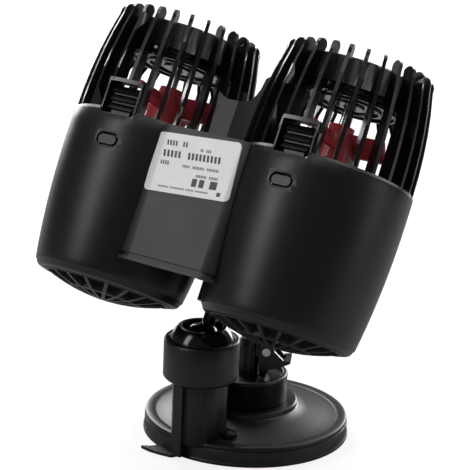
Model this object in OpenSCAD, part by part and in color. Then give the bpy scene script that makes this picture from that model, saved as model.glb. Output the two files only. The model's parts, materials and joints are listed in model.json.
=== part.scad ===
// Twin-head wave maker pump on a lever-lock suction base.
// Row frame: origin on the floor under the middle of the suction disc, +Z up, front towards -Y.
// Pump frame: origin midway between the two head axes at the mouths of the nozzle cups,
// z up the head axes, front towards -y. Head frames are the pump frame moved to one head axis.
// All sizes are in millimetres and all angles in degrees.

/* [Suction base] */
// Diameter of the rubber suction disc
disc_d = 80; // [76:1:90]
// Height of the rubber disc's rim
rubber_h = 6; // [6:0.5:8]
// Rise of the hard cover from its rim to its flange
cover_rise = 4; // [3:0.5:6]
// Outer diameter of the hub that carries the lever
hub_d = 31; // [28:0.5:34]
// Height of the hub above the cover's flange
hub_h = 11; // [10:0.5:14]
// Lift of the middle of the rubber disc when the lever is locked
lift = 1.2; // [0.8:0.1:1.4]
// Direction of the lever, from +X towards +Y
lever_turn = 30; // [0:5:60]

/* [Ball tower] */
// Distance from the disc's front edge back to the tower's axis
tower_inset = 8.5; // [7:0.5:10]
// Diameter of the tower
tower_d = 20.8; // [19:0.2:22]
// Height of the ball's centre above the floor
ball_h = 43; // [42:0.5:53]
// Diameter of the ball
ball_d = 17; // [16:0.5:17.5]
// Diameter of the neck between the ball and the pump
neck_d = 5.4; // [4.6:0.2:5.6]
// Lean of the pump back from upright
pump_lean = 28; // [15:1:32]
// Turn of the pump on its stem
pump_turn = 4.5; // [-20:0.5:20]

/* [Pump heads] */
// Distance between the two head axes
head_pitch = 73.5; // [72:0.5:80]
// Diameter of the nozzle cup at its rim
rim_d = 65.4; // [64:0.2:66]
// Diameter of the nozzle cup above its rounded mouth
mouth_d = 56.8; // [55:0.2:59]
// Length of the nozzle cup
cup_l = 60.5; // [56:0.5:66]
// Height of the fin tips above the cup's rim
cage_h = 43.5; // [42:0.5:48]
// Number of fins round a cage
fin_count = 27; // [21:1:30]
// Thickness of a fin
fin_t = 1.4; // [1:0.1:1.8]
// Turn of the ring of fins from the front
fin_turn = 2; // [0:0.5:6]
// Diameter of the motor can
can_d = 43; // [41:0.5:43.5]
// Wall of the moulded shells
wall = 2; // [1.6:0.1:2.4]
// Ribs of the outlet grille
grille_ribs = 18; // [12:1:20]
// Rise of the domed outlet grille
grille_rise = 5; // [3.5:0.5:7]

/* [Impeller] */
// Diameter of the impeller
impeller_d = 39; // [34:1:44]
// Height of the impeller's blades along its shaft
blade_h = 7; // [5:0.5:9]
// Number of blades
blade_count = 4; // [3:1:6]
// Diameter of the motor shaft
shaft_d = 3; // [2.5:0.1:3.6]

/* [Bridge and label] */
// Half of the bridge panel's width
panel_half_w = 21; // [19:0.5:23]
// Distance of the panel's face in front of the head axes
panel_y = 28.2; // [27:0.2:29]
// Height of the panel's lower lip above the cups' mouths
lip_z = 9.3; // [6:0.1:14]
// Width of the blank label
label_w = 35.5; // [26:0.5:36]
// Height of the blank label
label_h = 22; // [16:0.5:24]
// Tilt of the label on the panel
label_tilt = 4; // [0:0.5:5]
// Diameter of the hole for the supply cord
cord_d = 5.2; // [4:0.2:6.4]

/* [Hidden] */
$fn = 72;

left = -1;
right = 1;
eps = 0.01;

// Clearances: between joined shells, of a running shaft, of a sliding part, and of loose movers
shell_gap = 0.15;
run_gap = 0.05;
slide_gap = 0.15;
free_gap = 0.3;

// Colours of the real pieces
black_satin = [0.11, 0.11, 0.115];
black_gloss = [0.06, 0.06, 0.065];
black_rubber = [0.15, 0.15, 0.155];
impeller_red = [0.72, 0.07, 0.1];
label_white = [0.93, 0.93, 0.92];
steel = [0.72, 0.73, 0.75];
ceramic = [0.9, 0.88, 0.84];
copper = [0.72, 0.4, 0.2];
resin = [0.2, 0.2, 0.22];

// Suction base
disc_r = disc_d / 2;
tower_offset = disc_r - tower_inset; // from the disc's centre forward to the tower's axis
rubber_edge = 0.4;              // step in from the disc's lower lip to its rim
cavity_r = disc_r - 4;          // edge of the suction hollow
cavity_h = 1.4;                 // height of the suction hollow at its middle
plate_r = 9;                    // lift plate at the foot of the post
plate_h = 1.8;
plate_z = cavity_h + 1.2 + 0.2 + lift;
well_r = plate_r + 0.4;
cover_z = rubber_h + 0.1;
cover_r = disc_r - 0.6;
cover_edge = 1.1;               // upright edge of the cover
cover_t = 2.2;
flange_r = hub_d / 2 + 4.25;
flange_h = 2;
cover_top = cover_z + cover_edge + cover_rise;
flange_z = cover_top + flange_h;
hub_r = hub_d / 2;
hub_wall = 1.7;
bead_r = 1;
bead_out = 0.2;
hub_top = flange_z + hub_h;
cam_seat_h = 2;
cam_seat_z = hub_top - cam_seat_h - 1.6;
post_r = 4;
post_bore_r = post_r + slide_gap;
pin_r = 1.2;
pin_x = post_r + 3.2;           // lever's pin beside the post
cam_h = 10.7;                   // lowest point of the lever's heel below its pin
pin_z = cam_seat_z + cam_seat_h + cam_h + free_gap;
post_top = pin_z + 4.4;
post_flutes = 7;
lug_r = 2.7;
lug_half_w = 2.7;
wing_half_w = 4.6;
tab_drop = 3.3;                 // top of the thumb tab below the pin
tab_reach = 9.5;                // end of the thumb tab from the pin
cheek_w = 2.9;                  // half width of the lever's cheeks beside the pin

// Ball tower
tower_r = tower_d / 2;
tower_z = cover_z;
ball_r = ball_d / 2;
tower_top = ball_h - 11.8;
rib_w = 4;                      // flat rib down the tower's front
rib_out = 1.8;
ear_r = 2.8;
ear_x = 11.4;
ear_y = -tower_offset + 4.3;
screw_r = 1;
sink_r = 1.7;                   // sinking of the screws' heads
sink_h = 1;
slope_out = cover_r - 4.2;       // where the cover's slope begins
slope_in = flange_r + 0.6;       // where it ends, at the flange
slope_foot = cover_z + cover_edge + 0.1;
slope_top = cover_top - 0.4;
ear_in = norm([ear_x, ear_y]) - ear_r;
ear_proud = 0.28;
ear_top = slope_foot + (slope_top - slope_foot) * (slope_out - ear_in) / (slope_out - slope_in) + ear_proud;
rib_foot = 1.4;
housing_screw_r = 1.5;
cap_r = ball_r + 3.9;           // straight part of the socket cap
dome_z = ball_h - 1.5;          // centre of the cap's domed nose
dome_r = cap_r + 0.4;
cap_top = ball_h + 7.6;
cap_floor = 1.6;
throat_z = ball_h + 4.1;        // narrowest place of the cap's opening
throat_r = ball_r - 1.2;
opening_r = ball_r - 0.7;       // lip of the cap's opening
seat_r = cap_r - 1.5;
seat_top = ball_h - 2.4;
collar_r = dome_r + 1.5;
collar_top = ball_h + 3;
collar_foot = tower_top - 1.2;
collar_chamfer = 1.2;

// Pump placing
stem_back = 17.4;                 // ball behind the plane of the head axes
stem_drop = 9.65;                // ball below the cups' mouths
stem_seat = 6;                  // height of the boss that the stem turns in
spindle_r = 3.5;
boss_r = 7;

// Heads
rim_r = rim_d / 2;
mouth_r = mouth_d / 2;
mouth_round = 2.6;
grille_r = mouth_r - 3.7;
grille_t = 1.6;
grille_hub_r = 4.6;
ring_r = 13.6;
tip_z = cup_l + cage_h;
shoulder = 8;                   // straight length of the cup below its rim
rim_lip_z = cup_l + 0.9;
spigot_r = rim_r - wall - 0.25;
fin_in_low = rim_r - 5.9;       // inner edges of the fins beside the impeller
fin_in_high = can_d / 2 + 2.6;  // inner edges of the fins round the motor
sleeve_z = tip_z - 14;
can_top = tip_z - 4;            // flat top of the motor housing
sleeve_r = can_d / 2 + 1.1;     // bore of the sleeve
can_z = tip_z - 16.2;           // lower face of the motor can
can_r = can_d / 2;
can_floor = 1.2;
plug_t = 1.4;
can_rim = can_top - 2;          // open upper end of the motor can
plug_z = can_rim - 0.2 - plug_t;
well_top = plug_z - 1.1;        // end of the rotor's well
bush_low_h = 1.5;
bush_high_h = 1;
window_half = 12;               // half angle of the catch window
window_z = cup_l - 1.2;
window_top = cup_l + 11;
catch_z = cup_l - 11;           // centre of the oval boss
oval_w = 9;
oval_h = 4.9;
oval_gap = 0.75;                // clearance round the boss in the cup's hole
pad_half_w = 5.2;
tongue_half_w = 4;
shaft_r = shaft_d / 2;
well_in = 8.2;                  // bore of the rotor's well
magnet_r = well_in - 0.8;
nose_r = 5;                     // boss at the impeller's motor end
hub_rotor_r = 7;
impeller_r = impeller_d / 2;
blade_tilt = 38;
blade_t = 1.6;
impeller_top = can_z - 8.6;
hub_rotor_top = impeller_top - 4;
impeller_z = impeller_top - 16;
blade_z = impeller_top - 2.7 - blade_h;

// Bridge
panel_corner = 6;
ledge_z = cup_l + 0.4;
shell_floor = 14;
rear_floor = 17;
rear_y = 24.4;
split_y = -1;
rear_half_w = 19;
boss_top = rear_floor + wall + 1;
spindle_l = boss_top - stem_seat + slide_gap;
bead_h = 1.1;                   // bead along the panel's foot, and the groove above it
groove_h = 1.7;
groove_d = 0.8;
web_y = 13.5;                   // fold of the web in front of the head axes
web_left_y = 14.4;
web_right_y = 19;
web_side_x = 10.6;
web_lap = 4;                    // run of the web into the fins before it is cut back
web_z = tip_z - 26.4;           // top of the web at the fold
web_t = 2;
label_x = -1.2;
label_z = cup_l - 12.8;
label_t = 0.4;
gland_z = cup_l - 14;
gland_r = 5;
gland_l = 9;

// ---- frames ----

module in_pump()
    translate([0, -tower_offset, ball_h]) rotate([-pump_lean, 0, 0]) rotate([0, 0, pump_turn])
        translate([0, -stem_back, stem_drop]) children();

module at_head(side) in_pump() translate([side * head_pitch / 2, 0, 0]) children();

module both_heads() for (side = [left, right]) translate([side * head_pitch / 2, 0, 0]) children();

// Turns a child that faces the front, -y, by an angle towards +x
module facing(angle) rotate([0, 0, angle]) children();

module at_lever() rotate([0, 0, lever_turn]) children();

// ---- shared shapes ----

function arc(cx, cy, r, from, to, steps) =
    [for (i = [0:steps]) let (a = from + (to - from) * i / steps) [cx + r * cos(a), cy + r * sin(a)]];

// Barrel line of the nozzle cup: radius at height z above the mouth
function cup_radius(z) =
    let (t = min(1, max(0, z / (cup_l - shoulder)))) mouth_r + (rim_r - mouth_r) * sin(90 * t ^ 0.85);

// Outer line of the fins: radius at height z
function fin_radius(z) =
    let (t = (z - cup_l) / cage_h) rim_r - 0.4 - 5.2 * t ^ 2.2;

cup_steps = 12;
cup_line = [for (i = [0:cup_steps]) let (z = mouth_round + (cup_l - mouth_round) * i / cup_steps)
    [cup_radius(z), z]];

module tube(r_out, r_in, h) difference() {
    cylinder(r = r_out, h = h);
    translate([0, 0, -1]) cylinder(r = r_in, h = h + 2);
}

module stadium(w, h, depth) {
    for (s = [-1, 1]) translate([s * (w - h) / 2, 0, 0]) cylinder(d = h, h = depth, $fn = 48);
    translate([-(w - h) / 2, -h / 2, 0]) cube([w - h, h, depth]);
}

// Solid of revolution that a nozzle cup fills, grown by a gap
module cup_envelope(gap) rotate_extrude()
    polygon(concat([[0, -2], [mouth_r + gap, -2], [mouth_r + gap, mouth_round]],
        [for (p = cup_line) [p[0] + gap, p[1]]], [[rim_r + gap, rim_lip_z + gap], [0, rim_lip_z + gap]]));

// Solid of revolution that the fins sweep, grown by a gap
module fin_envelope(gap) rotate_extrude()
    polygon(concat([[0, cup_l]], [for (i = [0:6]) let (z = cup_l + cage_h * i / 6)
        [fin_radius(z) + gap, z]], [[0, tip_z]]));

// ---- suction base ----

module pull_tab() linear_extrude(1.2)
    polygon([[-1.5, -disc_r + 1.5], [-4, -disc_r - 3.3], [-9, -disc_r - 4], [-13.5, -disc_r - 4.1],
        [-18.3, -disc_r - 3.2], [-15.4, -disc_r - 1.2], [-12, -disc_r + 4]]);

module suction_cup() color(black_rubber) {
    difference() {
        rotate_extrude() polygon([[0, cavity_h], [14, cavity_h], [cavity_r, 0], [disc_r, 0], [disc_r, 0.9],
            [disc_r - rubber_edge, 1.3], [disc_r - rubber_edge, rubber_h - 0.6],
            [disc_r - rubber_edge - 0.6, rubber_h], [0, rubber_h]]);
        translate([0, 0, cavity_h + 1.2]) cylinder(r = well_r, h = rubber_h);
    }
    difference() {
        pull_tab();
        translate([0, 0, -1]) cylinder(r = disc_r - 1, h = 4);
    }
}

module cover_solid() rotate_extrude() polygon(concat(
    [[0, cover_z], [cover_r, cover_z], [cover_r, cover_z + cover_edge - 0.5]],
    arc(cover_r - 0.8, cover_z + cover_edge - 0.5, 0.8, 0, 80, 4),
    [[cover_r - 3.4, cover_z + cover_edge + 0.45], [slope_out, slope_foot],
     [slope_in, slope_top], [flange_r, cover_top],
     [flange_r, flange_z - 0.5], [flange_r - 0.5, flange_z], [0, flange_z]]));

module tower_ears(r, h) for (s = [-1, 1]) translate([s * ear_x, ear_y, 0]) cylinder(r = r, h = h);

module cup_cover() color(black_satin) difference() {
    cover_solid();
    rotate_extrude() polygon([[hub_r - 3, cover_z - 1], [cover_r - 3, cover_z - 1], [cover_r - 3, cover_z],
        [flange_r + 1, cover_top - cover_t], [hub_r - 3, cover_top - cover_t]]);
    cylinder(r = post_bore_r, h = flange_z + 1);
    tower_ears(screw_r, cover_top);
    translate([0, 0, ear_top - sink_h]) tower_ears(sink_r, sink_h + 1);
}

module socket_tower() color(black_satin) difference() {
    union() {
        translate([0, -tower_offset, tower_z]) cylinder(r = tower_r, h = tower_top - tower_z);
        translate([0.5 - rib_w, -tower_offset - tower_r - rib_out, rib_foot])
            cube([rib_w, tower_r / 2, collar_foot - 0.5 - rib_foot]);
        translate([0, 0, tower_z]) tower_ears(ear_r, ear_top - tower_z);
        translate([-ear_x, ear_y - ear_r, tower_z]) cube([2 * ear_x, 2 * ear_r, ear_top - tower_z]);
    }
    cover_solid();
    translate([0, 0, -1]) cylinder(r = disc_r + 0.3, h = cover_z + 1);
    tower_ears(screw_r + 0.1, ear_top + 1);
    translate([0, 0, ear_top - sink_h]) tower_ears(sink_r, sink_h + 1);
    translate([0, -tower_offset, tower_top - 9]) cylinder(r = tower_r - 3, h = 10);
}

module tower_screws() color(steel) for (s = [-1, 1]) translate([s * ear_x, ear_y, 0]) {
    translate([0, 0, cover_z]) cylinder(r = screw_r, h = ear_top - sink_h - cover_z + 0.01);
    difference() {
        translate([0, 0, ear_top - sink_h]) cylinder(r1 = sink_r - 0.2, r2 = sink_r - 0.5, h = sink_h - 0.2);
        for (a = [0, 90]) translate([0, 0, ear_top - 0.2]) rotate([0, 0, a])
            cube([1.8, 0.4, 1], center = true);
    }
}

module lever_hub() color(black_satin) difference() {
    union() {
        translate([0, 0, flange_z]) cylinder(r = hub_r, h = hub_h - bead_r);
        translate([0, 0, hub_top - bead_r]) rotate_extrude() {
            translate([hub_r - bead_r + bead_out, 0]) circle(r = bead_r, $fn = 32);
            translate([hub_r - hub_wall, -bead_r]) square([hub_wall - bead_r + bead_out, 2 * bead_r]);
        }
    }
    translate([0, 0, flange_z - 1]) cylinder(r = post_bore_r, h = hub_h + 2);
    translate([0, 0, flange_z + 2]) cylinder(r = hub_r - hub_wall - 1.2, h = hub_h);
    translate([0, 0, cam_seat_z]) cylinder(r = hub_r - hub_wall, h = hub_h);
}

module cam_seat() color(black_gloss) translate([0, 0, cam_seat_z])
    tube(hub_r - hub_wall - shell_gap, post_bore_r, cam_seat_h);

module lift_post() color(black_satin) difference() {
    union() {
        translate([0, 0, plate_z]) cylinder(r = plate_r, h = plate_h);
        translate([0, 0, plate_z]) cylinder(r = post_r, h = post_top - 1 - plate_z);
        translate([0, 0, post_top - 1]) cylinder(r1 = post_r, r2 = post_r - 1, h = 1);
        // Lug that the lever's fork straddles
        at_lever() translate([0, 0, pin_z]) rotate([90, 0, 0]) linear_extrude(2 * lug_half_w, center = true) {
            translate([pin_x, 0]) circle(r = lug_r);
            translate([0, -lug_r]) square([pin_x, 2 * lug_r]);
        }
    }
    for (i = [0:post_flutes - 1]) rotate([0, 0, lever_turn + 60 + 240 * i / (post_flutes - 1)])
        translate([post_r + 0.5, 0, hub_top - 0.5]) cylinder(r = 0.9, h = post_top - hub_top - 2, $fn = 24);
    at_lever_pin() cylinder(r = pin_r, h = 4 * lug_half_w, center = true);
}

// Frame of the lever's pin: z along the pin
module at_lever_pin() at_lever() translate([pin_x, 0, pin_z]) rotate([90, 0, 0]) children();

// Side view of the lever round its pin: x outward along the lever, y up
module lever_outline() {
    circle(r = lug_r + 0.3);
    polygon([[-cheek_w, 0.8], [-cheek_w, -3.5], [0.3 - cheek_w, 1.1 - cam_h], [0.7 - cheek_w, 0.5 - cam_h],
        [1.7 - cheek_w, -cam_h], [2.7 - cheek_w, 0.5 - cam_h], [1.2, 3.3 - cam_h],
        [tab_reach - 3.6, -tab_drop - 2.6], [tab_reach - 0.5, -tab_drop - 1.2],
        [tab_reach, -tab_drop - 0.7], [tab_reach - 0.1, 0.2 - tab_drop], [tab_reach - 0.5, 0.2 - tab_drop],
        [tab_reach - 2.9, -tab_drop], [cheek_w + 0.2, 0.2], [cheek_w, 0.8]]);
}

module cam_lever() color(black_satin) at_lever_pin() difference() {
    linear_extrude(2 * wing_half_w, center = true) lever_outline();
    // Fork that straddles the lug, open above the thumb tab
    linear_extrude(2 * (lug_half_w + free_gap), center = true)
        translate([-2 * cheek_w, -tab_drop]) square([2 * tab_reach, 4 * tab_drop]);
    cylinder(r = pin_r + run_gap, h = 4 * wing_half_w, center = true);
    // Finger groove in the tab
    translate([tab_reach - 3.3, -tab_drop, 0]) cube([2.4, 1.4, wing_half_w], center = true);
}

module lever_pin() color(steel) at_lever_pin() {
    cylinder(r = pin_r, h = 2 * wing_half_w, center = true);
    for (s = [-1, 1]) translate([0, 0, s * (wing_half_w + 0.4)])
        cylinder(r = pin_r + 0.4, h = 0.6, center = true);
}

// ---- ball tower ----

module at_tower(z) translate([0, -tower_offset, z]) children();

module collar_nut() color(black_satin) at_tower(0) difference() {
    rotate_extrude() polygon([[tower_r - 2, collar_foot], [collar_r - collar_chamfer, collar_foot],
        [collar_r, collar_foot + collar_chamfer], [collar_r, collar_top - 0.8],
        [collar_r - 0.5, collar_top], [tower_r - 2, collar_top]]);
    translate([0, 0, collar_foot - 1]) cylinder(r = tower_r + 2 * run_gap, h = tower_top - collar_foot + 2);
    translate([0, 0, tower_top - eps]) cylinder(r = dome_r + free_gap, h = dome_z - tower_top + 2 * eps);
    translate([0, 0, dome_z]) sphere(r = dome_r + free_gap);
}

module socket_cap() color(black_gloss) at_tower(0) difference() {
    union() {
        translate([0, 0, tower_top]) cylinder(r = cap_r, h = dome_z - tower_top);
        intersection() {
            translate([0, 0, dome_z]) sphere(r = dome_r);
            translate([0, 0, dome_z - 2]) cylinder(r = dome_r + 1, h = cap_top - dome_z + 2);
        }
    }
    translate([0, 0, ball_h]) sphere(r = ball_r + free_gap);
    translate([0, 0, tower_top + cap_floor])
        cylinder(r = seat_r + free_gap, h = seat_top + free_gap - tower_top - cap_floor);
    translate([0, 0, throat_z]) cylinder(r1 = throat_r, r2 = opening_r, h = cap_top - throat_z + eps);
}

module ball_seat() color(resin) at_tower(0) difference() {
    translate([0, 0, tower_top + cap_floor + run_gap])
        cylinder(r = seat_r, h = seat_top - tower_top - cap_floor - run_gap);
    translate([0, 0, ball_h]) sphere(r = ball_r + run_gap);
    translate([0, 0, tower_top]) cylinder(r = 3, h = 10);
}

module at_stem() in_pump() translate([0, stem_back, 0]) children();

module ball_stem() color(black_gloss) at_stem() difference() {
    union() {
        translate([0, 0, -stem_drop]) sphere(r = ball_r);
        translate([0, 0, -stem_drop]) cylinder(d = neck_d, h = stem_drop + stem_seat - 1);
        translate([0, 0, stem_seat - 2.6]) cylinder(d1 = neck_d, d2 = neck_d + 4, h = 1.3);
        translate([0, 0, stem_seat - 1.3]) cylinder(d = neck_d + 4, h = 1.2);
        translate([0, 0, stem_seat - 1]) cylinder(r = spindle_r, h = spindle_l + 1);
    }
    translate([0, 0, stem_seat + spindle_l - 8]) cylinder(r = 1.2, h = 9);
}

module stem_screw() color(steel) at_stem() difference() {
    union() {
        translate([0, 0, stem_seat + spindle_l - 7.5]) cylinder(r = 1.2, h = 7.5 + eps);
        translate([0, 0, stem_seat + spindle_l]) cylinder(r = spindle_r + 1.2, h = 0.8);
        translate([0, 0, stem_seat + spindle_l + 0.8]) cylinder(r1 = 2.7, r2 = 2.3, h = 1.5);
    }
    translate([0, 0, stem_seat + spindle_l + 2]) for (a = [0, 90]) rotate([0, 0, a])
        cube([3, 0.6, 1.2], center = true);
}

// ---- bridge ----

module front_outline(inset) {
    w = panel_half_w - inset;
    r = panel_corner - inset;
    translate([-w, -panel_y + panel_corner]) square([2 * w, panel_y - panel_corner + split_y]);
    translate([-w + r, -panel_y + inset]) square([2 * (w - r), panel_corner]);
    for (s = [-1, 1]) translate([s * (w - r), -panel_y + panel_corner]) circle(r = r);
}

module rear_outline(inset) {
    w = rear_half_w - inset;
    r = panel_corner - inset;
    translate([-w, split_y]) square([2 * w, rear_y - panel_corner - split_y]);
    translate([-w + r, split_y]) square([2 * (w - r), rear_y - inset - split_y]);
    for (s = [-1, 1]) translate([s * (w - r), rear_y - panel_corner]) circle(r = r);
}

// Room between the cups, less the thickness of the shell's side walls
module core_room(z0, z1) translate([0, 0, z0]) linear_extrude(z1 - z0) difference() {
    children();
    for (side = [left, right]) translate([side * head_pitch / 2, 0])
        circle(r = rim_r + shell_gap + 1.3);
}

// Outer end of one half of the web, which passes through side_y where it meets the fins
function web_end(s, side_y) = let (run = web_side_x + web_lap)
    [s * run, -web_y + (web_y - side_y) * run / web_side_x];

module web() intersection() {
    translate([0, 0, ledge_z - 1]) linear_extrude(tip_z - 16 - ledge_z + 1) {
        left = web_end(-1, web_left_y);
        right = web_end(1, web_right_y);
        back = [0, web_t];
        polygon([left, [0, -web_y], right, right + back, [0, web_t - web_y], left + back]);
    }
    rotate([90, 0, 0]) linear_extrude(2 * web_right_y) {
        translate([-20, 0]) square([40, web_z]);
        for (s = [-1, 1]) scale([s, 1]) polygon([[4.5, web_z - 1], [4.5, web_z], [7, web_z + 0.8],
            [9, web_z + 2.4], [10.6, web_z + 5], [11.6, web_z + 9], [20, web_z + 12], [20, web_z - 1]]);
    }
}

module bridge_front() color(black_satin) in_pump() difference() {
    union() {
        translate([0, 0, lip_z]) linear_extrude(ledge_z - lip_z) front_outline(0);
        // Bead along the lower lip
        translate([0, 0, lip_z]) linear_extrude(bead_h) front_outline(-0.7);
        web();
    }
    // Groove above the bead
    translate([0, 0, lip_z + bead_h]) linear_extrude(groove_h) difference() {
        front_outline(-1);
        front_outline(groove_d);
    }
    core_room(shell_floor - 10, ledge_z - wall) front_outline(wall);
    // The shell's floor is cut back behind the panel
    translate([-40, -panel_y + wall + 1.6, lip_z - 5]) cube([80, 60, shell_floor - lip_z + 5]);
    both_heads() cup_envelope(shell_gap);
    both_heads() fin_envelope(shell_gap);
    translate([-40, split_y, -5]) cube([80, 60, tip_z]);
}

module bridge_rear() color(black_satin) in_pump() difference() {
    union() {
        translate([0, 0, rear_floor]) linear_extrude(ledge_z - 2 - rear_floor) rear_outline(0);
        translate([0, stem_back, stem_seat]) cylinder(r = boss_r, h = boss_top - stem_seat);
    }
    difference() {
        core_room(rear_floor + wall, ledge_z - 2 - wall) rear_outline(wall);
        translate([0, stem_back, rear_floor]) cylinder(r = boss_r, h = boss_top - rear_floor);
    }
    translate([0, stem_back, 0]) cylinder(r = spindle_r + run_gap, h = 40);
    translate([0, rear_y - 10, gland_z]) rotate([-90, 0, 0]) cylinder(r = gland_r, h = 20);
    screw_places() cylinder(r = housing_screw_r + 0.2, h = 40);
    both_heads() cup_envelope(shell_gap);
    both_heads() fin_envelope(shell_gap);
}

// Four screw places in the rear shell's back, with z pointing inward
module screw_places() for (z = [rear_floor + 8, ledge_z - 10]) for (s = [-1, 1])
    translate([s * 8.5, rear_y + 1, z]) rotate([90, 0, 0]) children();

module bridge_screws() color(steel) in_pump() screw_places() difference() {
    union() {
        cylinder(r1 = 2.2, r2 = 2.7, h = 1);
        cylinder(r = housing_screw_r, h = 5);
    }
    for (a = [45, 135]) rotate([0, 0, a]) cube([2.8, 0.6, 1], center = true);
}

module label_plate() color(label_white) in_pump() difference() {
    intersection() {
        translate([0, 0, lip_z]) linear_extrude(ledge_z - lip_z) difference() {
            front_outline(-label_t);
            front_outline(0);
        }
        translate([label_x, 0, label_z]) rotate([90, 0, 0]) rotate([0, 0, label_tilt])
            linear_extrude(2 * panel_y) {
                square([label_w - 4, label_h], center = true);
                square([label_w, label_h - 4], center = true);
                for (x = [-1, 1]) for (y = [-1, 1])
                    translate([x * (label_w / 2 - 2), y * (label_h / 2 - 2)]) circle(r = 2, $fn = 32);
            }
    }
    both_heads() cup_envelope(shell_gap);
}

module cable_gland() color(black_rubber) in_pump() translate([0, rear_y, gland_z]) rotate([-90, 0, 0])
    difference() {
        union() {
            translate([0, 0, -wall - 1.5]) cylinder(r = gland_r, h = wall + 1.5 + eps);
            translate([0, 0, -wall - 1.5]) cylinder(r = gland_r + 1, h = 1.4);
            cylinder(r1 = gland_r + 1, r2 = gland_r - 0.6, h = gland_l);
        }
        translate([0, 0, -10]) cylinder(d = cord_d, h = 40);
    }

module wire_block() color(resin) in_pump()
    translate([-4, rear_y - wall - slide_gap - 7, gland_z - 18]) cube([8, 7, 9]);

// ---- pump heads ----

function fin_profile() = concat(
    [[fin_in_low, cup_l + 0.6]],
    [for (i = [0:5]) let (z = cup_l + 0.6 + (cage_h - 4.4) * i / 5) [fin_radius(z), z]],
    arc(fin_radius(tip_z - 3.8) - 2.5, tip_z - 2.5, 2.5, 15, 165, 6),
    [[fin_in_high - 0.5, tip_z - 5], [fin_in_high - 0.5, sleeve_z + 0.6], [fin_in_high, sleeve_z],
     [fin_in_high, can_z + 0.4], [fin_in_low, can_z - 2.6]]);

module fin(angle) facing(angle) rotate([0, 0, -90]) rotate([90, 0, 0])
    linear_extrude(fin_t, center = true) polygon(fin_profile());

module window_block(half, z0, z1, r0, r1) translate([0, 0, z0]) linear_extrude(z1 - z0)
    polygon([[-r0 * sin(half), -r0 * cos(half)], [-r1 * sin(half), -r1 * cos(half)], [0, -r1 - 0.6],
        [r1 * sin(half), -r1 * cos(half)], [r0 * sin(half), -r0 * cos(half)]]);

module cage(side) color(black_satin) at_head(side) difference() {
    union() {
        // Spigot inside the cup, with the flange on its rim
        rotate_extrude() polygon([[spigot_r - 1.6, cup_l - 5], [spigot_r, cup_l - 5],
            [spigot_r, cup_l + 0.05], [rim_r - 0.2, cup_l + 0.05], [rim_r - 0.2, cup_l + 0.95],
            [fin_in_low - 0.4, cup_l + 0.95], [fin_in_low - 0.4, cup_l + 0.05],
            [spigot_r - 1.6, cup_l + 0.05]]);
        // Sleeve and cap over the motor can
        rotate_extrude() polygon([[sleeve_r, sleeve_z], [fin_in_high, sleeve_z],
            [fin_in_high, can_top - 0.6], [fin_in_high - 0.6, can_top], [0, can_top],
            [0, can_top - 1.8], [sleeve_r, can_top - 1.8]]);
        for (i = [0:fin_count - 1]) fin(360 * i / fin_count + fin_turn);
        // Surround of the catch window
        intersection() {
            translate([0, 0, cup_l + 0.5]) tube(rim_r - 0.1, fin_in_low + 0.7, window_top + 0.9 - cup_l);
            window_block(window_half + 1.5, cup_l, window_top + 4, fin_in_low - 2, rim_r + 2);
        }
    }
    window_block(window_half, window_z - 10, window_top, fin_in_low - 6, rim_r + 3);
}

module motor_can(side) color(black_gloss) at_head(side) difference() {
    union() {
        translate([0, 0, can_z]) cylinder(r1 = can_r - can_floor, r2 = can_r, h = can_floor);
        translate([0, 0, can_z + can_floor]) cylinder(r = can_r, h = can_rim - can_z - can_floor);
        // Ribs and boss under the can
        for (r = [12.5, 18.5]) translate([0, 0, can_z - 0.8]) tube(r, r - 0.9, 1);
        translate([0, 0, can_z - 0.8]) cylinder(r = 6, h = 1);
    }
    difference() {
        translate([0, 0, can_z + can_floor]) cylinder(r = can_r - 2, h = 30);
        translate([0, 0, can_z]) cylinder(r = well_in + 0.8, h = plug_z - 0.2 - can_z);
    }
    translate([0, 0, can_z + can_floor]) cylinder(r = well_in, h = well_top - can_z - can_floor);
    translate([0, 0, can_z - 2]) cylinder(r = shaft_r + 0.5, h = 6);
}

module can_seal(side) color(black_rubber) at_head(side) translate([0, 0, sleeve_z + 2.4])
    tube(sleeve_r, can_r, 1.2);

module potting_plug(side) color(resin) at_head(side) translate([0, 0, plug_z])
    cylinder(r = can_r - 2 - shell_gap, h = plug_t);

module stator_core(side) color(steel) at_head(side) translate([0, 0, can_z + can_floor + 1.4]) difference() {
    tube(can_r - 2.2, well_in + 0.9, 4.6);
    for (i = [0:5]) rotate([0, 0, 60 * i]) translate([well_in + 3.4, -2.2, -1])
        cube([can_r - 2.2 - well_in - 5.6, 4.4, 20]);
}

module stator_coils(side) color(copper) at_head(side) translate([0, 0, can_z + can_floor + 0.3])
    for (i = [0:5]) rotate([0, 0, 60 * i]) translate([well_in + 3.6, -2, 0])
        cube([can_r - 2.2 - well_in - 6, 4, 6.8]);

module rotor_magnet(side) color(resin) at_head(side)
    translate([0, 0, can_z + can_floor + bush_low_h + free_gap])
        tube(magnet_r, shaft_r, well_top - bush_high_h - bush_low_h - can_z - can_floor - 2 * free_gap);

module motor_shaft(side) color(steel) at_head(side) translate([0, 0, impeller_z + 1.5])
    cylinder(r = shaft_r, h = well_top - free_gap - impeller_z - 1.5);

module lower_bush(side) color(ceramic) at_head(side) translate([0, 0, can_z + can_floor])
    tube(well_in, shaft_r + run_gap, bush_low_h);

module upper_bush(side) color(ceramic) at_head(side) translate([0, 0, well_top - bush_high_h])
    tube(well_in, shaft_r + run_gap, bush_high_h);

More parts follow.
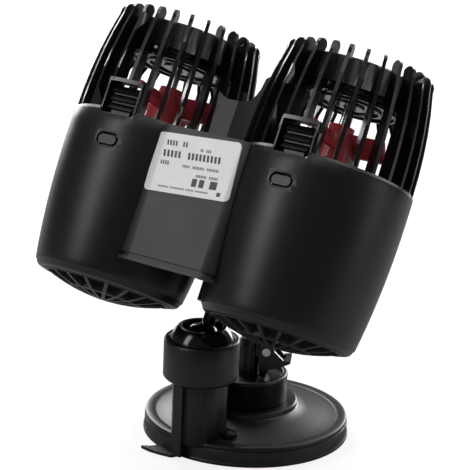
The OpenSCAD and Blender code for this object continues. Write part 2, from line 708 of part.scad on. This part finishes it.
module impeller(side) color(impeller_red) at_head(side) difference() {
    union() {
        translate([0, 0, impeller_z - 3]) cylinder(r1 = hub_rotor_r - 3, r2 = hub_rotor_r, h = 3);
        translate([0, 0, impeller_z]) cylinder(r = hub_rotor_r, h = hub_rotor_top - impeller_z);
        translate([0, 0, hub_rotor_top - 1]) cylinder(r = nose_r, h = impeller_top - hub_rotor_top + 1);
        intersection() {
            for (i = [0:blade_count - 1]) rotate([0, 0, 360 * i / blade_count])
                translate([hub_rotor_r - 2, 0, blade_z + blade_h / 2]) rotate([blade_tilt, 0, 0])
                    translate([0, -blade_t / 2, -blade_h]) cube([impeller_r, blade_t, 2 * blade_h]);
            translate([0, 0, blade_z]) tube(impeller_r, hub_rotor_r - 1, blade_h);
        }
    }
    translate([0, 0, impeller_z + 1.4]) cylinder(r = shaft_r, h = impeller_top);
}

module nozzle_cup(side) color(black_satin) at_head(side) difference() {
    rotate_extrude() polygon(concat(
        [[grille_r + 0.2, 0]],
        arc(mouth_r - mouth_round, mouth_round, mouth_round, -90, -12, 6),
        cup_line, [[rim_r - wall, cup_l]],
        [for (i = [0:cup_steps - 1]) let (p = cup_line[cup_steps - i]) [p[0] - wall, p[1]]],
        [[mouth_r - wall, 1.4], [grille_r + 0.2, 1.4]]));
    window_block(window_half, window_z, cup_l + 1, fin_in_low - 6, rim_r + 3);
    translate([0, 0, catch_z]) rotate([90, 0, 0]) stadium(oval_w, oval_h, rim_r + 5);
}

// Height of the grille's dome at radius r, apex down
function dome(r) = grille_rise * ((r / grille_r) ^ 2 - 1);

// Section of the dome's skin from radius r0 to r1
function dome_strip(r0, r1, n) = concat(
    [for (i = [0:n]) let (r = r0 + (r1 - r0) * i / n) [r, dome(r)]],
    [for (i = [0:n]) let (r = r1 + (r0 - r1) * i / n) [r, dome(r) + grille_t]]);

module outlet_grille(side) color(black_satin) at_head(side) {
    translate([0, 0, 1.5]) tube(mouth_r - wall - shell_gap, grille_r - 1.4, 1.4);
    translate([0, 0, -0.4]) tube(grille_r, grille_r - 1.4, 2.4);
    rotate_extrude() polygon(dome_strip(0, grille_hub_r, 1));
    rotate_extrude() polygon(dome_strip(ring_r - 0.6, ring_r + 0.6, 1));
    for (i = [0:grille_ribs - 1]) facing(360 * (i + 0.5) / grille_ribs) rotate([0, 0, -90])
        rotate([90, 0, 0]) linear_extrude(1.3, center = true)
            polygon(dome_strip(grille_hub_r - 0.6, grille_r - 0.5, 5));
}

module release_catch(side) color(black_satin) at_head(side) {
    pad_r = rim_r - 1.6;
    // Ribbed grip pad
    rotate([90, 0, 90]) linear_extrude(2 * pad_half_w, center = true)
        polygon(concat([[-pad_r + 3.6, cup_l - 0.2], [-pad_r + 3.6, window_top - 1]],
            [for (i = [0:2]) let (z = window_top - 1 - 3.3 * i)
                each [[-pad_r + 2, z], [-pad_r, z - 2.4], [-pad_r + 2, z - 2.8]]]));
    // Spring tongue inside the cup's wall
    translate([-tongue_half_w, -pad_r + 1.7, catch_z - 4])
        cube([2 * tongue_half_w, 1.5, cup_l + 1 - catch_z + 4]);
    // Oval boss in the cup's hole
    translate([0, -pad_r + 2, catch_z]) rotate([90, 0, 0])
        stadium(oval_w - 2 * oval_gap, oval_h - 2 * oval_gap, 3.3);
}

// ---- nodes ----

suction_cup();
cup_cover();
socket_tower();
tower_screws();
lever_hub();
cam_seat();
lift_post();
cam_lever();
lever_pin();
collar_nut();
socket_cap();
ball_seat();
ball_stem();
stem_screw();
bridge_front();
bridge_rear();
bridge_screws();
label_plate();
cable_gland();
wire_block();
cage(left);  // cage_left
motor_can(left);  // motor_can_left
can_seal(left);  // can_seal_left
potting_plug(left);  // potting_plug_left
stator_core(left);  // stator_core_left
stator_coils(left);  // stator_coils_left
rotor_magnet(left);  // rotor_magnet_left
motor_shaft(left);  // motor_shaft_left
lower_bush(left);  // lower_bush_left
upper_bush(left);  // upper_bush_left
impeller(left);  // impeller_left
nozzle_cup(left);  // nozzle_cup_left
outlet_grille(left);  // outlet_grille_left
release_catch(left);  // release_catch_left
cage(right);  // cage_right
motor_can(right);  // motor_can_right
can_seal(right);  // can_seal_right
potting_plug(right);  // potting_plug_right
stator_core(right);  // stator_core_right
stator_coils(right);  // stator_coils_right
rotor_magnet(right);  // rotor_magnet_right
motor_shaft(right);  // motor_shaft_right
lower_bush(right);  // lower_bush_right
upper_bush(right);  // upper_bush_right
impeller(right);  // impeller_right
nozzle_cup(right);  // nozzle_cup_right
outlet_grille(right);  // outlet_grille_right
release_catch(right);  // release_catch_right
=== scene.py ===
"""Twin-head wave maker pump on a lever-lock suction base: finishes, light and camera.

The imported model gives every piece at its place. This script rounds the edges of the mouldings,
adds what is too fine for the construction model, and gives each piece its own finish.
"""

import json
import math

import bmesh
import bpy
from mathutils import Matrix, Vector


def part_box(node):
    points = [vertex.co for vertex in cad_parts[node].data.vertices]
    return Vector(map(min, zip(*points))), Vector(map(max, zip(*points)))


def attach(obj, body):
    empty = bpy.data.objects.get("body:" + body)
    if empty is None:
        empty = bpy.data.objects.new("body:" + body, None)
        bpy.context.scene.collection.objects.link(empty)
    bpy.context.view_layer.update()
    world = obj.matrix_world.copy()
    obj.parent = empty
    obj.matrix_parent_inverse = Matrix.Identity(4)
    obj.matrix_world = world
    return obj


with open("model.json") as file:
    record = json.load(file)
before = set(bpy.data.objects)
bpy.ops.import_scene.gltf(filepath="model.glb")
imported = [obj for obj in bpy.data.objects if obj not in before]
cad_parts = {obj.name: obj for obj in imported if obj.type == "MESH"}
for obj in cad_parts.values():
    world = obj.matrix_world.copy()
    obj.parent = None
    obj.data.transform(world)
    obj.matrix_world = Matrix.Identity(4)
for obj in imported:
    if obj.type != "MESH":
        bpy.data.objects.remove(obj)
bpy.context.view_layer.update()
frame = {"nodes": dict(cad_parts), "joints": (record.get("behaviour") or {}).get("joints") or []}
nodes = frame["nodes"]
SIDES = ("left", "right")
MM = 0.001

# ---- camera, floor and light ----

CAMERA_AZIMUTH = math.radians(34.48)
CAMERA_ELEVATION = math.radians(16.66)
CAMERA_ROLL = math.radians(2.41)
CAMERA_DISTANCE = 763 * MM
CAMERA_TARGET = Vector((-5.9, -4.1, 78.6)) * MM
CAMERA_LENS = 153.2


def set_camera():
    """A long lens a little above the base, level with the middle of the pump."""
    a, e = CAMERA_AZIMUTH, CAMERA_ELEVATION
    back = Vector((math.sin(a) * math.cos(e), -math.cos(a) * math.cos(e), math.sin(e)))
    level = Vector((math.cos(a), math.sin(a), 0))
    upright = back.cross(level)
    right = level * math.cos(CAMERA_ROLL) + upright * math.sin(CAMERA_ROLL)
    up = back.cross(right)
    turn = Matrix((right, up, back)).transposed().to_4x4()
    data = bpy.data.cameras.new("camera")
    data.lens = CAMERA_LENS
    data.sensor_width = 36
    data.clip_end = 20
    camera = bpy.data.objects.new("camera", data)
    camera.matrix_world = Matrix.Translation(CAMERA_TARGET + back * CAMERA_DISTANCE) @ turn
    bpy.context.scene.collection.objects.link(camera)
    bpy.context.scene.camera = camera


def add_softbox(name, azimuth, elevation, distance, width, height, radiance):
    """A square-cornered soft light that faces the pump from a direction round it."""
    a, e = math.radians(azimuth), math.radians(elevation)
    away = Vector((math.sin(a) * math.cos(e), -math.cos(a) * math.cos(e), math.sin(e)))
    data = bpy.data.lights.new(name, "AREA")
    data.shape = "RECTANGLE"
    data.size = width
    data.size_y = height
    data.energy = radiance * math.pi * width * height
    lamp = bpy.data.objects.new(name, data)
    lamp.location = Vector((0, 0, 0.08)) + away * distance
    lamp.rotation_euler = away.to_track_quat("Z", "Y").to_euler()
    bpy.context.scene.collection.objects.link(lamp)


def shader_node(tree, kind, inputs=None, **settings):
    """Adds a node, with its settings, and its inputs as values or as links from sockets."""
    made = tree.nodes.new(kind)
    for key, value in settings.items():
        setattr(made, key, value)
    for key, value in (inputs or {}).items():
        if isinstance(value, bpy.types.NodeSocket):
            tree.links.new(value, made.inputs[key])
        else:
            made.inputs[key].default_value = value
    return made


def linear(hex_colour):
    """A linear colour with alpha from an sRGB hex value."""
    parts = [int(hex_colour[i:i + 2], 16) / 255 for i in (1, 3, 5)]
    return [c / 12.92 if c <= 0.04045 else ((c + 0.055) / 1.055) ** 2.4 for c in parts] + [1.0]


def set_world():
    """A white surround that the camera sees in full and the pump sees dimmed."""
    world = bpy.data.worlds.new("studio")
    bpy.context.scene.world = world
    world.use_nodes = True
    tree = world.node_tree
    tree.nodes.clear()
    path = shader_node(tree, "ShaderNodeLightPath")
    seen = shader_node(tree, "ShaderNodeBackground", {"Color": linear("#ffffff"), "Strength": 1.0})
    lit = shader_node(tree, "ShaderNodeBackground", {"Color": linear("#f4f6f8"), "Strength": 0.1})
    both = shader_node(tree, "ShaderNodeMixShader", {
        "Fac": path.outputs["Is Camera Ray"], 1: lit.outputs[0], 2: seen.outputs[0]})
    shader_node(tree, "ShaderNodeOutputWorld", {"Surface": both.outputs[0]})


def add_floor():
    """A wide pale floor that keeps the pump's soft shadow."""
    bpy.ops.mesh.primitive_circle_add(vertices=96, radius=6, fill_type="NGON", location=(0, 0, -0.0002))
    floor = bpy.context.object
    floor.name = "floor"
    material = bpy.data.materials.new("pale_floor")
    material.use_nodes = True
    tree = material.node_tree
    tree.nodes.clear()
    path = shader_node(tree, "ShaderNodeLightPath")
    paint = shader_node(tree, "ShaderNodeBsdfDiffuse", {"Color": linear("#acacac")})
    thin = shader_node(tree, "ShaderNodeBsdfDiffuse", {"Color": linear("#7f7f7f")})
    glow = shader_node(tree, "ShaderNodeEmission", {"Color": linear("#ffffff"), "Strength": 0.84})
    seen = shader_node(tree, "ShaderNodeAddShader", {0: thin.outputs[0], 1: glow.outputs[0]})
    both = shader_node(tree, "ShaderNodeMixShader", {
        "Fac": path.outputs["Is Camera Ray"], 1: paint.outputs[0], 2: seen.outputs[0]})
    shader_node(tree, "ShaderNodeOutputMaterial", {"Surface": both.outputs[0]})
    floor.data.materials.append(material)


# ---- finishes ----

def surface(name, colour, roughness, **inputs):
    """A material with its principled shader and object-space coordinates in millimetres."""
    material = bpy.data.materials.new(name)
    material.use_nodes = True
    tree = material.node_tree
    shader = tree.nodes["Principled BSDF"]
    shader.inputs["Base Color"].default_value = linear(colour)
    shader.inputs["Roughness"].default_value = roughness
    for key, value in inputs.items():
        shader.inputs[key].default_value = value
    place = shader_node(tree, "ShaderNodeTexCoord")
    millimetres = shader_node(tree, "ShaderNodeVectorMath", {
        0: place.outputs["Object"], 1: (1000, 1000, 1000)}, operation="MULTIPLY")
    return material, tree, shader, millimetres.outputs["Vector"]


def grain(tree, where, pitch, low, high, detail=3.0):
    """A noise of a given pitch in millimetres, spread from low to high."""
    noise = shader_node(tree, "ShaderNodeTexNoise", {
        "Vector": where, "Scale": 1 / pitch, "Detail": detail, "Roughness": 0.6})
    return shader_node(tree, "ShaderNodeMapRange", {
        "Value": noise.outputs["Fac"], "From Min": 0.3, "From Max": 0.7, "To Min": low, "To Max": high})


def bump(tree, shader, height, depth):
    """Gives a shader the relief of a height from 0 to 1, of a depth in millimetres."""
    relief = shader_node(tree, "ShaderNodeBump", {
        "Height": height, "Strength": 1.0, "Distance": depth * MM})
    tree.links.new(relief.outputs["Normal"], shader.inputs["Normal"])


def satin_abs():
    """Black injection-moulded ABS from a spark-eroded mould: a fine even grain that breaks the shine."""
    material, tree, shader, where = surface("satin_abs", "#0b0b0c", 0.38, IOR=1.54)
    sheen = grain(tree, where, 14, 0.36, 0.41)
    tree.links.new(sheen.outputs["Result"], shader.inputs["Roughness"])
    # The real grain of 0.1 mm is too fine to show, so it is drawn at 0.35 mm
    bump(tree, shader, grain(tree, where, 0.35, 0, 1).outputs["Result"], 0.004)
    return material


def etched_abs():
    """Black ABS from an acid-etched mould: a coarser grain, greyer and more matt than the cups."""
    material, tree, shader, where = surface("etched_abs", "#302b2a", 0.46, IOR=1.54)
    sheen = grain(tree, where, 18, 0.43, 0.48)
    tree.links.new(sheen.outputs["Result"], shader.inputs["Roughness"])
    # The etched pits are 0.15 mm across, drawn at 0.4 mm so that they show
    bump(tree, shader, grain(tree, where, 0.4, 0, 1).outputs["Result"], 0.008)
    return material


def drawn_abs():
    """Black ABS from a draw-polished mould, as thin ribs need to come out of it: a low even gloss."""
    material, tree, shader, where = surface("drawn_abs", "#0c0c0d", 0.26, IOR=1.54)
    sheen = grain(tree, where, 12, 0.27, 0.31)
    tree.links.new(sheen.outputs["Result"], shader.inputs["Roughness"])
    bump(tree, shader, grain(tree, where, 0.5, 0, 1).outputs["Result"], 0.004)
    return material


def polished_abs():
    """Black ABS from a polished mould: near mirror gloss with the long faint waves of moulded skin."""
    material, tree, shader, where = surface("polished_abs", "#0e0e0f", 0.16, IOR=1.54)
    haze = grain(tree, where, 9, 0.12, 0.2)
    tree.links.new(haze.outputs["Result"], shader.inputs["Roughness"])
    bump(tree, shader, grain(tree, where, 6, 0, 1, 1.0).outputs["Result"], 0.01)
    return material


def nitrile_rubber():
    """Black moulded nitrile: soft broad shine, with a grey bloom in patches a few millimetres wide."""
    material, tree, shader, where = surface("nitrile_rubber", "#1d1d1e", 0.5, IOR=1.52)
    bloom = grain(tree, where, 5, 0, 1)
    colours = shader_node(tree, "ShaderNodeValToRGB", {"Fac": bloom.outputs["Result"]})
    colours.color_ramp.elements[0].color = linear("#18181a")
    colours.color_ramp.elements[1].color = linear("#262628")
    tree.links.new(colours.outputs["Color"], shader.inputs["Base Color"])
    matt = grain(tree, where, 3, 0.44, 0.56)
    tree.links.new(matt.outputs["Result"], shader.inputs["Roughness"])
    # Pores of 0.05 mm, drawn at 0.3 mm so that they show
    bump(tree, shader, grain(tree, where, 0.3, 0, 1).outputs["Result"], 0.006)
    return material


def red_nylon():
    """Dyed nylon 66 with short glass fibres: a waxy shine, and streaks along the flow of the melt."""
    material, tree, shader, where = surface(
        "red_nylon", "#fb2a30", 0.34, **{"IOR": 1.53, "Subsurface Weight": 0.6, "Subsurface Scale": 0.004})
    stretched = shader_node(tree, "ShaderNodeVectorMath", {0: where, 1: (1, 1, 0.25)}, operation="MULTIPLY")
    flow = grain(tree, stretched.outputs["Vector"], 1.2, 0, 1)
    colours = shader_node(tree, "ShaderNodeValToRGB", {"Fac": flow.outputs["Result"]})
    colours.color_ramp.elements[0].color = linear("#f0222a")
    colours.color_ramp.elements[1].color = linear("#ff4046")
    tree.links.new(colours.outputs["Color"], shader.inputs["Base Color"])
    bump(tree, shader, grain(tree, where, 0.5, 0, 1).outputs["Result"], 0.01)
    return material


def label_film():
    """White polyester film with a clear varnish: smooth, with a faint orange peel from the press."""
    material, tree, shader, where = surface(
        "label_film", "#f4f5f6", 0.32, **{"IOR": 1.5, "Coat Weight": 0.4, "Coat Roughness": 0.12})
    tone = grain(tree, where, 8, 0, 1)
    colours = shader_node(tree, "ShaderNodeValToRGB", {"Fac": tone.outputs["Result"]})
    colours.color_ramp.elements[0].color = linear("#f0f1f3")
    colours.color_ramp.elements[1].color = linear("#f8f8f8")
    tree.links.new(colours.outputs["Color"], shader.inputs["Base Color"])
    bump(tree, shader, grain(tree, where, 1.2, 0, 1).outputs["Result"], 0.003)
    return material


def screen_ink():
    """Grey screen-printed ink: a flat matt layer that the mesh leaves slightly uneven."""
    material, tree, shader, where = surface("screen_ink", "#5a5b60", 0.6, IOR=1.5)
    cover = grain(tree, where, 0.6, 0, 1)
    colours = shader_node(tree, "ShaderNodeValToRGB", {"Fac": cover.outputs["Result"]})
    colours.color_ramp.elements[0].color = linear("#4b4c52")
    colours.color_ramp.elements[1].color = linear("#6c6d73")
    tree.links.new(colours.outputs["Color"], shader.inputs["Base Color"])
    return material


def stainless_steel():
    """Turned and tumbled 304 stainless steel: bright, with fine tool marks a few hundredths apart."""
    material, tree, shader, where = surface("stainless_steel", "#c6c8cb", 0.26, Metallic=1.0)
    marks = grain(tree, where, 0.5, 0.2, 0.36)
    tree.links.new(marks.outputs["Result"], shader.inputs["Roughness"])
    # Tool marks of 0.05 mm, drawn at 0.25 mm
    bump(tree, shader, grain(tree, where, 0.25, 0, 1).outputs["Result"], 0.004)
    return material


def core_laminations():
    """A stack of electrical steel sheets 0.5 mm thick, seen on edge as fine dark and light lines."""
    material, tree, shader, where = surface("core_laminations", "#77797c", 0.45, Metallic=0.9)
    sheets = shader_node(tree, "ShaderNodeTexWave", {
        "Vector": where, "Scale": 1 / (0.5 * 2 * math.pi), "Distortion": 0.3}, bands_direction="Z")
    colours = shader_node(tree, "ShaderNodeValToRGB", {"Fac": sheets.outputs["Fac"]})
    colours.color_ramp.elements[0].color = linear("#3e4042")
    colours.color_ramp.elements[1].color = linear("#8b8d90")
    tree.links.new(colours.outputs["Color"], shader.inputs["Base Color"])
    bump(tree, shader, sheets.outputs["Fac"], 0.05)
    return material


def enamelled_copper():
    """Copper magnet wire under amber enamel, wound in close turns 0.4 mm apart."""
    material, tree, shader, where = surface(
        "enamelled_copper", "#9a4a22", 0.25, **{"Metallic": 0.85, "Coat Weight": 0.6, "Coat Roughness": 0.15})
    turns = shader_node(tree, "ShaderNodeTexWave", {
        "Vector": where, "Scale": 1 / (0.4 * 2 * math.pi), "Distortion": 0.8}, bands_direction="Z")
    colours = shader_node(tree, "ShaderNodeValToRGB", {"Fac": turns.outputs["Fac"]})
    colours.color_ramp.elements[0].color = linear("#5c2710")
    colours.color_ramp.elements[1].color = linear("#b4602e")
    tree.links.new(colours.outputs["Color"], shader.inputs["Base Color"])
    bump(tree, shader, turns.outputs["Fac"], 0.12)
    return material


def alumina():
    """Fired and ground alumina: ivory white, smooth, with sparse grey specks."""
    material, tree, shader, where = surface("alumina", "#e4ded2", 0.24, IOR=1.7)
    specks = grain(tree, where, 0.6, 0, 1)
    colours = shader_node(tree, "ShaderNodeValToRGB", {"Fac": specks.outputs["Result"]})
    colours.color_ramp.elements[0].color = linear("#cfc8bb")
    colours.color_ramp.elements[1].color = linear("#e9e4da")
    tree.links.new(colours.outputs["Color"], shader.inputs["Base Color"])
    return material


def cast_epoxy():
    """Dark epoxy cast in place: glossy, a little sunken, with filler just under the skin."""
    material, tree, shader, where = surface("cast_epoxy", "#191a1d", 0.22, IOR=1.55)
    filler = grain(tree, where, 0.4, 0, 1)
    colours = shader_node(tree, "ShaderNodeValToRGB", {"Fac": filler.outputs["Result"]})
    colours.color_ramp.elements[0].color = linear("#151619")
    colours.color_ramp.elements[1].color = linear("#232428")
    tree.links.new(colours.outputs["Color"], shader.inputs["Base Color"])
    bump(tree, shader, grain(tree, where, 4, 0, 1, 1.0).outputs["Result"], 0.03)
    return material


def acetal():
    """Dark acetal, a slippery bearing plastic: dense, with a soft waxy shine and rub marks."""
    material, tree, shader, where = surface("acetal", "#222225", 0.3, IOR=1.48)
    rubbed = grain(tree, where, 1.5, 0.24, 0.4)
    tree.links.new(rubbed.outputs["Result"], shader.inputs["Roughness"])
    bump(tree, shader, grain(tree, where, 0.6, 0, 1).outputs["Result"], 0.004)
    return material


def sintered_ferrite():
    """Sintered ferrite, ground to size: dull charcoal with fine grey pits."""
    material, tree, shader, where = surface("sintered_ferrite", "#333437", 0.5, **{"Metallic": 0.4})
    pits = grain(tree, where, 0.5, 0, 1)
    colours = shader_node(tree, "ShaderNodeValToRGB", {"Fac": pits.outputs["Result"]})
    colours.color_ramp.elements[0].color = linear("#28292b")
    colours.color_ramp.elements[1].color = linear("#3f4043")
    tree.links.new(colours.outputs["Color"], shader.inputs["Base Color"])
    bump(tree, shader, pits.outputs["Result"], 0.02)
    return material


# Each finish, with the nodes that it is on and the rounding of their edges in millimetres
FINISHES = [
    (satin_abs, 0.3, ["socket_tower", "cup_cover", "lever_hub", "lift_post", "cam_lever",
        "collar_nut"]),
    (etched_abs, 0.25, ["bridge_front", "bridge_rear"]),
    (satin_abs, 0.3, [f"nozzle_cup_{side}" for side in SIDES]),
    (drawn_abs, 0.45, [f"cage_{side}" for side in SIDES]),
    (etched_abs, 0.3, [f"outlet_grille_{side}" for side in SIDES]),
    (satin_abs, 0.15, [f"release_catch_{side}" for side in SIDES]),
    (polished_abs, 0.2, ["socket_cap", "ball_stem"] + [f"motor_can_{side}" for side in SIDES]),
    (nitrile_rubber, 0.3, ["suction_cup", "cable_gland"] + [f"can_seal_{side}" for side in SIDES]),
    (red_nylon, 0.2, [f"impeller_{side}" for side in SIDES]),
    (label_film, 0, ["label_plate"]),
    (stainless_steel, 0.1, ["tower_screws", "lever_pin", "stem_screw", "bridge_screws"]
        + [f"motor_shaft_{side}" for side in SIDES]),
    (core_laminations, 0.2, [f"stator_core_{side}" for side in SIDES]),
    (enamelled_copper, 0.5, [f"stator_coils_{side}" for side in SIDES]),
    (alumina, 0.15, [f"{bush}_{side}" for side in SIDES for bush in ("lower_bush", "upper_bush")]),
    (cast_epoxy, 0.1, [f"potting_plug_{side}" for side in SIDES]),
    (acetal, 0.2, ["cam_seat", "ball_seat", "wire_block"]),
    (sintered_ferrite, 0.2, [f"rotor_magnet_{side}" for side in SIDES]),
]

# Housings whose broad faces keep their own shading beside the rounded edges
BROAD_FACED = ("bridge_front", "bridge_rear")

WELD_DISTANCE = 0.002 * MM
SHARP_EDGE = math.radians(35)


def finish_node(piece, material, edge):
    """Gives a node its finish, and rounds its sharp edges as its mould does."""
    piece.data.materials.clear()
    piece.data.materials.append(material)
    if edge:
        weld = piece.modifiers.new("weld", "WELD")
        weld.merge_threshold = WELD_DISTANCE
        rounding = piece.modifiers.new("rounding", "BEVEL")
        rounding.width = edge * MM
        rounding.segments = 2
        rounding.limit_method = "ANGLE"
        rounding.angle_limit = SHARP_EDGE
        rounding.harden_normals = piece.name not in BROAD_FACED


# ---- the label's print ----

LABEL_TILT = math.radians(4)
PRINT_PROUD = 0.04 * MM
PRINT_SUNK = 0.01 * MM
# Rows of print in millimetres on the label: left end, middle height, height of its strokes, and its
# words as numbers of strokes. The strokes are plain upright blocks, so the print says nothing.
PRINT_ROWS = [
    (-12.6, 7.4, 1.9, (4, 2)),
    (1.6, 6.1, 1.1, (2, 3)),
    (-13.0, 3.4, 2.5, (5, 9)),
    (-13.3, -0.1, 1.5, (4,)),
    (-4.0, -0.5, 1.0, (5, 8, 8)),
    (2.4, -3.4, 1.0, (7, 6)),
    (-12.0, -8.9, 0.6, (12, 16, 9, 14)),
]
STROKE_WIDTH = 0.36                 # shares of a stroke's height
STROKE_PITCH = 0.62
STROKE_SLANT = -0.15
# Solid blocks under the rows: left end, bottom, width and height
PRINT_BLOCKS = [(1.2, -7.4, 2.0, 2.9), (4.2, -7.4, 2.0, 2.9), (8.6, -7.4, 2.9, 2.9), (12.2, -9.6, 1.5, 1.5)]


def joint_axis(name):
    """The direction of a joint's axis at rest."""
    return Vector(next(j for j in frame["joints"] if j["name"] == name)["axis"]).normalized()


def label_place():
    """The middle of the label's face, and its unit axes: along it, up it and out of its face."""
    up = joint_axis("stem_spin")
    out = -joint_axis("release_press_left")
    along = up.cross(out)
    lowest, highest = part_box("label_plate")
    middle = (lowest + highest) / 2
    face = max(v.co.dot(out) for v in nodes["label_plate"].data.vertices)
    middle += out * (face - middle.dot(out))
    turned = along * math.cos(LABEL_TILT) + up * math.sin(LABEL_TILT)
    return middle, turned, out.cross(turned), out


def add_print(ink):
    """Rows of blocks and a few solid squares, as a raised layer of ink on the label."""
    middle, along, up, out = label_place()
    mesh = bmesh.new()

    def block(left, bottom, width, height, slant=0.0):
        corners = [(left, bottom), (left + width, bottom), (left + width + slant, bottom + height),
                   (left + slant, bottom + height)]
        low, high = [
            [mesh.verts.new(middle + (along * x + up * y) * MM + out * lift) for x, y in corners]
            for lift in (-PRINT_SUNK, PRINT_PROUD)]
        mesh.faces.new(high)
        for k in range(4):
            mesh.faces.new((low[k], low[(k + 1) % 4], high[(k + 1) % 4], high[k]))

    for left, level, height, words in PRINT_ROWS:
        for strokes in words:
            for _ in range(strokes):
                block(left, level - height / 2, STROKE_WIDTH * height, height, STROKE_SLANT * height)
                left += STROKE_PITCH * height
            left += height
    for left, bottom, width, height in PRINT_BLOCKS:
        block(left, bottom, width, height)
    data = bpy.data.meshes.new("label_print")
    mesh.normal_update()
    mesh.to_mesh(data)
    mesh.free()
    piece = bpy.data.objects.new("label_print", data)
    data.materials.append(ink)
    bpy.context.scene.collection.objects.link(piece)
    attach(piece, "pump")


set_camera()
set_world()
add_floor()
add_softbox("key", -27, 32, 1.3, 0.34, 0.7, 4.8)
add_softbox("sky", -108, 52, 1.3, 0.9, 0.6, 2.8)
add_softbox("right_rim", -176, 8, 1.2, 0.45, 1.1, 8.0)
add_softbox("left_rim", -122, 15, 1.2, 0.4, 1.2, 8.0)
add_softbox("back", 150, 50, 1.4, 0.6, 0.5, 3.0)
add_softbox("side", 110, 10, 1.3, 0.4, 0.8, 1.4)
add_softbox("top", 40, 80, 1.3, 0.8, 0.8, 2.4)
for make_finish, edge, names in FINISHES:
    finish = bpy.data.materials.get(make_finish.__name__) or make_finish()
    for name in names:
        finish_node(nodes[name], finish, edge)

add_print(screen_ink())

bpy.context.scene.view_settings.view_transform = "Standard"
bpy.context.view_layer.update()
